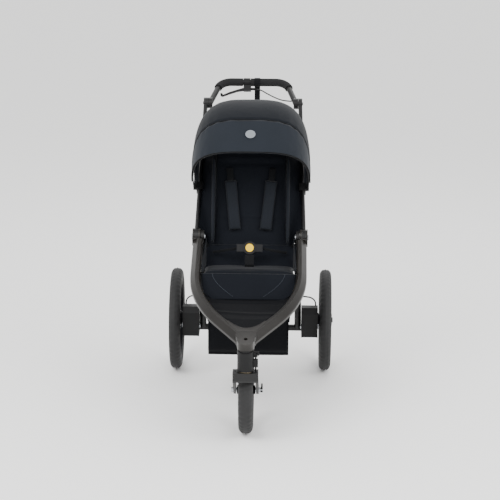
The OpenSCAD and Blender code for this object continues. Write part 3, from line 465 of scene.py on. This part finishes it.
hood_cloth = woven("charcoal_coated_polyester", "#0f1217", 2.4, 0.06)
visor_cloth = woven("grey_coated_polyester", "#1b1f25", 2.4, 0.08)
piping = woven("black_piping_tape", "#0a0b0d", 1.6, 0.05, 0.1)
pivot_at = place(0, 634.9, 757.975)
hood_half, hood_high, hood_low, squareness = 0.223, 0.340, 0.050, 3.4
panel_reach = 0.965
visor_angles = (33.8, 58.7)


def hood_point(q, angle, lift=0.0):
    """A point on the canopy: q from -1 to 1 across it, angle its rise from level in degrees."""
    c, s = math.cos(q * math.pi / 2), math.sin(q * math.pi / 2)
    x = hood_half * math.copysign(abs(s) ** (2 / squareness), s)
    v = max(hood_high * max(c, 0.0) ** (2 / squareness), hood_low) + lift
    a = math.radians(angle)
    return pivot_at + Vector((x, -v * math.cos(a), v * math.sin(a)))


def thicken(flat, thickness):
    """Gives a flat mesh its thickness, half to each side."""
    solid = flat.modifiers.new("thickness", "SOLIDIFY")
    solid.thickness, solid.offset = thickness, 0
    return as_mesh(flat)


def grid_faces(rows, cols, start=0):
    """Four-sided faces over a grid of points that runs row by row."""
    corners = [start + j * (cols + 1) + i for j in range(rows) for i in range(cols)]
    return [(a, a + 1, a + cols + 2, a + cols + 1) for a in corners]


def cloth_sheet(name, verts, rows, cols, skin, thickness):
    """A grid of points as one layer of cloth, with its size laid flat and its area."""
    flat = piece(name, verts, grid_faces(rows, cols), skin)
    area = sum(f.area for f in flat.data.polygons)
    wide = cols + 1
    cut = (max(line_length(verts[j * wide:(j + 1) * wide]) for j in range(rows + 1)),
           max(line_length(verts[i::wide]) for i in range(wide)))
    return thicken(flat, thickness), cut, area


def hood_panel(name, low_angle, high_angle, sag, skin):
    """A panel stretched between two bows. It dips between them and puckers near each seam."""
    wide, deep, verts = 96, 20, []
    for j in range(deep + 1):
        t = j / deep
        for i in range(wide + 1):
            q = panel_reach * (2 * i / wide - 1)
            slack = sag * math.sin(math.pi * t) * math.cos(q * math.pi / 2) ** 0.5
            pucker = 0.0012 * math.sin(q * 46) * (1 - math.sin(math.pi * t))
            verts.append(hood_point(q, low_angle + (high_angle - low_angle) * t, 0.001 + pucker - slack))
    return cloth_sheet(name, verts, deep, wide, skin, 0.0018)


for name, node, angles, sag, skin, bodies in (
    ("hood_back", "canopy_back", (59.3, 117.5), 0.006, hood_cloth, ("canopy_mid", "upper_frame")),
    ("hood_visor", "canopy_visor", visor_angles, 0.003, visor_cloth, ("canopy_front", "canopy_mid")),
):
    panel, cut, area = hood_panel(name, *angles, sag, skin)
    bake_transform(panel)
    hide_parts(node)


def hem(name, angle, body):
    """Bound edge: a rolled tape sewn round the panel's rim."""
    line = [hood_point(panel_reach * (i / 40 - 1), angle, 0.0015) for i in range(81)]
    tape = run_cable(name, line, 0.0048)[0]
    tape.data.materials.clear()
    tape.data.materials.append(piping)
    tape = as_mesh(tape)
    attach(tape, body)


hem("visor_hem", 34.2, "canopy_front")
hem("seam_tape", 59.0, "canopy_mid")
hem("rear_hem", 117.0, "upper_frame")

# A plain round badge with a raised rim, moulded and sewn to the visor's middle.
badge_steps = 40
badge_skin = moulded("grey_moulded_badge", "#6d7176", 0.35, 2.0, 0.05)
centre = hood_point(0, 47, 0.0022)
out = (centre - pivot_at).normalized()
along = Vector((0, out.z, -out.y))
ring, faces = [centre + out * 0.0016], []
for r, up in ((0.010, 0.0016), (0.014, 0.0022), (0.017, 0.0016), (0.0185, 0.0)):
    for k in range(badge_steps):
        a = 2 * math.pi * k / badge_steps
        ring.append(centre + Vector((r * math.cos(a), 0, 0)) + along * (r * math.sin(a)) + out * up)
for k in range(badge_steps):
    m = (k + 1) % badge_steps
    faces.append((0, 1 + k, 1 + m))
    for j in range(3):
        inner, outer = 1 + j * badge_steps, 1 + (j + 1) * badge_steps
        faces.append((inner + k, outer + k, outer + m, inner + m))
badge = piece("badge", ring, faces, badge_skin)
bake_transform(badge)

# ---- seat ----
# Foam between two layers of woven polyester: the back with its wings, the pan and the front flap.
# Each is sewn shut round its edge and quilted along the seams, where the foam is pinched in.
seat_cloth = woven("navy_charcoal_polyester", "#0c0f15", 2.2, 0.06)
trim_cloth = woven("grey_trim_polyester", "#14171c", 2.2, 0.06)


def rounded_pad(name, half, low, high, thick, frame_of, skin, seams=(), rows=60, cols=48):
    """A crowned pad in its own frame: x across, up along it, and a front face that swells between seams."""
    seam_pinch, seam_width, unevenness = 0.34, 0.016, 0.05
    verts = []
    for side in (1, -1):
        for j in range(rows + 1):
            v = j / rows
            for i in range(cols + 1):
                u = -1 + 2 * i / cols
                edge = max(0.0, 1 - abs(u) ** 5) * max(0.0, 1 - abs(2 * v - 1) ** 7)
                pull = 1 - 0.03 * (1 - abs(2 * v - 1)) * abs(u) ** 4
                fullness = edge ** 0.5
                if side > 0:
                    for seam in seams:
                        fullness -= seam_pinch * math.exp(-((v - seam) / seam_width) ** 2) * edge
                    fullness += unevenness * noise.noise(Vector((u * 2.4, v * 5.1, 3.7))) * edge
                depth = thick / 2 * max(fullness, 0.0) * side
                verts.append(frame_of(u * half * pull, low + (high - low) * v, depth))
    faces = grid_faces(rows, cols) + grid_faces(rows, cols, (rows + 1) * (cols + 1))
    made = piece(name, verts, faces, skin)
    fix = bmesh.new()
    fix.from_mesh(made.data)
    bmesh.ops.remove_doubles(fix, verts=fix.verts, dist=1e-5)
    bmesh.ops.recalc_face_normals(fix, faces=fix.faces)
    fix.to_mesh(made.data)
    fix.free()
    return made


def swell(pad, cap):
    """Pumps a pad up as cloth under pressure, then lets no point move further than cap."""
    before = [v.co.copy() for v in pad.data.vertices]
    puff = pad.modifiers.new("puff", "CLOTH")
    puff.settings.use_pressure = True
    puff.settings.uniform_pressure_force = 4
    puff.settings.effector_weights.gravity = 0
    for step in range(1, 21):
        bpy.context.scene.frame_set(step)
    seen = pad.evaluated_get(bpy.context.evaluated_depsgraph_get())
    after = [v.co.copy() for v in seen.data.vertices]
    pad.modifiers.remove(puff)
    bpy.context.scene.frame_set(1)
    for v, a, b in zip(pad.data.vertices, before, after):
        move = b - a
        if move.length > cap:
            move *= cap / move.length
        v.co = a + move
    return pad


# The back leans back from the bight, the line where it meets the cushion.
lean = math.radians(68.5)
bight = place(0, 487, 512)
up_back = Vector((0, math.cos(lean), math.sin(lean)))
off_back = Vector((0, -math.sin(lean), math.cos(lean)))


def on_back(x, up, out):
    """A point on the seat back: across, up along it from the bight, and out of its face."""
    return bight + Vector((x, 0, 0)) + up_back * up + off_back * out


back_pad = rounded_pad("back_pad", 0.140, 0.020, 0.472, 0.026,
                       lambda x, up, out: on_back(x, up, out - 0.015),
                       seat_cloth, seams=(0.3, 0.78, 0.86))
back_pad = swell(back_pad, 0.004)
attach(back_pad, "backrest")
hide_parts("backrest")

for tag, side in sides:
    wing = rounded_pad("wing_" + tag, 0.020, 0.062, 0.386, 0.013,
                       lambda x, up, out: on_back(side * 0.1405 + out, up, 0.018 + x),
                       trim_cloth, rows=40, cols=14)
    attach(wing, "backrest")

# The cushion falls 18 mm toward the back over 176 mm.
pan_tilt = math.atan2(18, 176)
pan_mid = place(0, 364, 499)


def on_pan(x, y, out):
    """A point on the seat cushion: across, back along its slope, and straight up off it."""
    return pan_mid + Vector((x, y * math.cos(pan_tilt), -y * math.sin(pan_tilt))) + Vector((0, 0, out))


pan_pad = rounded_pad("seat_cushion", 0.172, -0.086, 0.086, 0.024, on_pan,
                      seat_cloth, seams=(0.2,), rows=36)
pan_pad = swell(pan_pad, 0.004)
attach(pan_pad, "chassis")
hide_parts("seat_pan")

flap_top, flap_low = place(0, 264, 518), place(0, 199, 436)
flap_up = (flap_top - flap_low).normalized()
flap_out = Vector((0, -flap_up.z, flap_up.y))
flap_long = (flap_top - flap_low).length
corner_share, corner_cut = 0.55, 0.26


def on_flap(x, up, out):
    """A point on the flap, which narrows in a curve toward its lower corners."""
    below = 1 - min(up / flap_long / corner_share, 1)
    return (flap_low + Vector((x * (1 - corner_cut * below ** 2), 0, 0))
            + flap_up * up + flap_out * (out - 0.003))


flap_pad = rounded_pad("front_flap", 0.176, 0.0, flap_long, 0.009, on_flap,
                       seat_cloth, seams=(0.08, 0.93), rows=40)
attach(flap_pad, "chassis")
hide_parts("calf_flap")

# ---- fabric sides and bight ----
# Single layers of polyester cloth, each sewn along two edges: from the back out to the upper tubes, from
# the tubes out to the hood's sides, from the cushion out to the V, and across the gap behind the cushion.


def cloth_between(name, inner, outer, sag_way, skin, bulge=0.010, down=30, over=14):
    """A sheet from one edge line to another, slack in the middle."""
    verts = []
    for j in range(down + 1):
        v = j / down
        a, b = inner(v), outer(v)
        for i in range(over + 1):
            t = i / over
            ripple = 0.0015 * math.sin(9 * v * math.pi) * math.sin(math.pi * t)
            verts.append(a.lerp(b, t) + sag_way * (bulge * math.sin(math.pi * t) + ripple))
    return cloth_sheet(name, verts, down, over, skin, 0.0016)


for tag, side in sides:
    cloth, cut, area = cloth_between(
        "seat_side_" + tag,
        lambda v: on_back(side * 0.130, 0.465 * v, -0.014),
        lambda v: place(side * (196.7 - 9.5 * v), 526.6 + 201.4 * v, 631.2 + 235.8 * v),
        Vector((0, 0.4, -0.2)), seat_cloth)
    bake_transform(cloth)

bight_cloth, cut, area = cloth_between(
    "bight_panel", lambda v: place(-170 + 340 * v, 424, 490), lambda v: place(-174 + 348 * v, 514, 566),
    Vector((0, 0.3, -0.6)), seat_cloth, 0.006)
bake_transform(bight_cloth)

for tag, side in sides:
    curtain, cut, area = cloth_between(
        "hood_side_" + tag,
        lambda v: place(side * 186, 628 + 140 * v, 742 + 164 * v),
        lambda v: place(side * 219, 640 + 128 * v, 752 + 154 * v),
        Vector((side * 0.2, 0.5, 0)), trim_cloth, 0.005)
    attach(curtain, "upper_frame")
    wall, cut, area = cloth_between(
        "seat_wall_" + tag,
        lambda v: place(side * (168 - 6 * v), 286 + 168 * v, 512 - 8 * v),
        lambda v: place(side * (174 - 10 * v), 300 + 192 * v, 534 + 60 * v),
        Vector((side * 0.3, 0, -0.3)), trim_cloth, 0.004)
    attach(wall, "chassis")

# ---- stitching ----
# Lines of bonded polyester thread, lockstitched down the flap's two curved seams. Each stitch is a
# short flat bar that stands 0.7 mm proud of the cloth.
thread_skin = woven("pale_polyester_thread", "#3a3f46", 1.0, 0.1, 0.05)
stitches = 22
for tag, side in sides:
    verts, faces = [], []
    for k in range(stitches):
        t = k / (stitches - 1)
        x = side * (0.132 - 0.075 * t ** 1.6)
        at = flap_low + Vector((x, 0, 0)) + flap_up * (0.098 - 0.086 * t) + flap_out * 0.0028
        step = flap_up * -0.0016 + Vector((-side * 0.0010 * (1 + t), 0, 0))
        wide = step.cross(flap_out).normalized() * 0.0005
        base = len(verts)
        for lift in (0, 0.0007):
            verts += [at - step - wide + flap_out * lift, at - step + wide + flap_out * lift,
                      at + step + wide + flap_out * lift, at + step - wide + flap_out * lift]
        faces += [(base, base + 1, base + 2, base + 3), (base + 4, base + 5, base + 6, base + 7)]
        faces += [(base + i, base + (i + 1) % 4, base + 4 + (i + 1) % 4, base + 4 + i) for i in range(4)]
    stitch = piece("flap_stitch_" + tag, verts, faces, thread_skin, False)
    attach(stitch, "chassis")

# ---- footwell ----
# One sheet of coated polyester slung between the V's tubes, with a fold across it. Its back edge is
# turned up behind the front flap as a hem.
liner = woven("black_coated_liner", "#08090c", 2.6, 0.04, 0.5)
low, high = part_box("footwell")
well_line = [(190, 430), (120, 419), (40, 413), (-78, 386)]
verts, wide, deep, edge_gap = [], 40, 44, 0.001

# The V's gap narrows all the way forward, so its edge is the outer hull of the solid's points.
known = []
for y, x in sorted({(v.co.y, abs(v.co.x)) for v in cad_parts["footwell"].data.vertices}):
    while len(known) > 1:
        (y0, x0), (y1, x1) = known[-2:]
        if (y1 - y0) * (x - x0) < (x1 - x0) * (y - y0):
            break
        known.pop()
    known.append((y, x))
for j in range(deep + 1):
    y = high.y - edge_gap + (low.y - high.y + 2 * edge_gap) * j / deep
    below = [k for k in known if k[0] <= y] or [known[0]]
    above = [k for k in known if k[0] >= y] or [known[-1]]
    (y0, w0), (y1, w1) = below[-1], above[0]
    half = (w0 if y1 - y0 < 1e-6 else w0 + (w1 - w0) * (y - y0) / (y1 - y0)) - edge_gap
    at = (y - axle.y) * 1000
    for (ya, za), (yb, zb) in zip(well_line, well_line[1:]):
        if yb <= at <= ya:
            z = za + (zb - za) * (at - ya) / (yb - ya)
            break
    else:
        z = well_line[0][1] if at > well_line[0][0] else well_line[-1][1]
    for i in range(wide + 1):
        u = -1 + 2 * i / wide
        sag = 0.006 * (1 - u * u)
        fold = 0.004 * math.exp(-((at - 95 + 12 * u) / 9) ** 2)
        verts.append(Vector((u * half, y, z / 1000 - 0.002 - sag + fold)))
hem_rows, hem_step = 7, Vector((0, 0.005, 0.0036))
back_row = verts[:wide + 1]
verts = [v + hem_step * k for k in range(hem_rows, 0, -1) for v in back_row] + verts
deep += hem_rows
well = piece("footwell_cloth", verts, grid_faces(deep, wide), liner)
well = thicken(well, 0.0016)
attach(well, "chassis")
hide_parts("footwell")

# ---- basket ----
# A sewn polyester tray hung under the seat: one bent sheet for its ends and floor, and two flat
# sides sewn to it. The rim is lower at the back.
outline = [(306, 330), (298, 232), (312, 202), (346, 184), (600, 190), (632, 214), (648, 300)]
ring = smooth_line([Vector((0, y, z)) for y, z in outline], 8)
verts, wide, basket_half = [], 24, 148
for p in ring:
    for i in range(wide + 1):
        u = -1 + 2 * i / wide
        belly = 4 * (1 - u * u) * math.sin(math.pi * min(max((p.y - 300) / 348, 0), 1))
        verts.append(place(u * basket_half, p.y, max(p.z + (2 if p.z < 200 else 0), 186) + 4 - belly))
ends = len(ring) - 1
faces = grid_faces(ends, wide)
rim_front, rim_back = 330, 300
for edge, x in ((0, -basket_half), (wide, basket_half)):
    rim_start = len(verts)
    for j, p in enumerate(ring):
        top = rim_front - (rim_front - rim_back) * (j / ends)
        verts.append(place(x, p.y, max(top, p.z)))
    for j in range(ends):
        a, b = j * (wide + 1) + edge, (j + 1) * (wide + 1) + edge
        faces.append((a, b, rim_start + j + 1, rim_start + j))
basket = piece("basket_cloth", verts, faces, liner)
basket = thicken(basket, 0.002)
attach(basket, "chassis")
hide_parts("basket")

# ---- harness ----
# Five-point harness of woven polyester webbing, cut hot and sewn. Padded sleeves go over the shoulder
# straps, and the waist and crotch straps run to the buckle.
webbing = woven("black_polyester_webbing", "#0d0e10", 1.8, 0.05, 0.1)
pad_cloth = woven("charcoal_harness_sleeve", "#171a1f", 2.0, 0.06)
tip = math.radians(6)
for tag, side in sides:

    def on_strap(x, up, out):
        """A point on a shoulder strap, which tips outward as it rises."""
        return on_back(side * (x * math.cos(tip) + up * math.sin(tip)),
                       up * math.cos(tip) - x * math.sin(tip), out)

    sleeve = rounded_pad("shoulder_pad_" + tag, 0.022, 0.121, 0.309, 0.012,
                         lambda x, up, out: on_strap(x + 0.045, up, 0.007 + out),
                         pad_cloth, rows=36, cols=16)
    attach(sleeve, "backrest")
    if side < 0:
        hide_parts("shoulder_harness")


def ribbon(name, points, width, thick, body, wide_along=Vector((1, 0, 0))):
    """A flat strap of webbing through some points, with rounded edges."""
    line, verts, faces, around = smooth_line(points, 6), [], [], 12
    for i, p in enumerate(line):
        ahead = (line[min(i + 1, len(line) - 1)] - line[max(i - 1, 0)]).normalized()
        flat = (wide_along - ahead * wide_along.dot(ahead)).normalized()
        face = ahead.cross(flat)
        for k in range(around):
            a = 2 * math.pi * k / around
            bow = math.copysign(abs(math.cos(a)) ** 0.35, math.cos(a))
            verts.append(p + flat * (width / 2 * bow) + face * (thick / 2 * math.sin(a)))
    for i in range(len(line) - 1):
        start, after = i * around, (i + 1) * around
        for k in range(around):
            m = (k + 1) % around
            faces.append((start + k, after + k, after + m, start + m))
    faces += [tuple(range(around)), tuple(range(len(verts) - around, len(verts)))]
    made = piece(name, verts, faces, webbing)
    if body:
        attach(made, body)
    return made


for tag, side in sides:
    ribbon("shoulder_web_" + tag, [on_back(side * (0.045 + up * 0.1045), up, out)
                                   for up, out in ((0.306, 0.006), (0.33, 0.003), (0.352, 0.001))],
           0.024, 0.0022, "backrest")
    strap = ribbon("waist_strap_" + tag, [place(side * x, y, z) for x, y, z in (
        (50, 428, 572), (78, 438, 564), (110, 456, 554), (138, 473, 546))], 0.010, 0.0022,
        "upper_frame", Vector((0, 0.3, 1)))
    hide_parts("waist_straps")
crotch = ribbon("crotch_web", [place(0, y, z) for y, z in (
    (397, 513), (380, 514.5), (376, 524), (388, 540), (401, 553))], 0.034, 0.0024, None)
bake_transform(crotch)
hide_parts("crotch_strap")

# The basket hangs from the V and the fold castings on four tapes.
for tag, side in sides:
    for end, points in (("front", ((142, 312, 322), (150, 306, 400), (166, 298, 470), (178, 296, 512))),
                        ("rear", ((142, 640, 296), (148, 600, 390), (158, 540, 490), (168, 498, 574)))):
        ribbon("basket_tape_" + end + "_" + tag, [place(side * x, y, z) for x, y, z in points],
               0.020, 0.0022, "chassis")

# ---- buckle ----
# Press-button buckle moulded in dark grey plastic, with a fine grain. Its round release button is
# moulded apart, in gloss yellow.
yellow = moulded("gloss_yellow_abs", "#e2b21e", 0.22, 4.0, 0.02)
dress(moulded("dark_grey_buckle_abs", "#0c0c0e", 0.42, 1.2), "black_plastic", "buckle")
dress(yellow, "yellow_plastic", "buckle_button")

# ---- wrist strap ----
# A loop of woven polyester webbing, 22 mm wide, that goes round the grip and is sewn to itself. Its
# tail hangs straight down behind.
grip_y, grip_z, reach = 1010, 1108, 17.0
strap_start, strap_width, strips = 3, 22, 6
line = [(grip_y + reach * math.cos(math.radians(a)), grip_z + reach * math.sin(math.radians(a)))
        for a in range(-350, 1, 10)]
line += [(grip_y + reach - 0.2 * k / 10, grip_z - 9 * k) for k in range(1, 11)]
verts = [place(strap_start + strap_width * i / strips, y, z) for y, z in line for i in range(strips + 1)]
tether = piece("wrist_webbing", verts, grid_faces(len(line) - 1, strips), webbing)
tether = thicken(tether, 0.0014)
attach(tether, "handlebar")
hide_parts("wrist_strap")
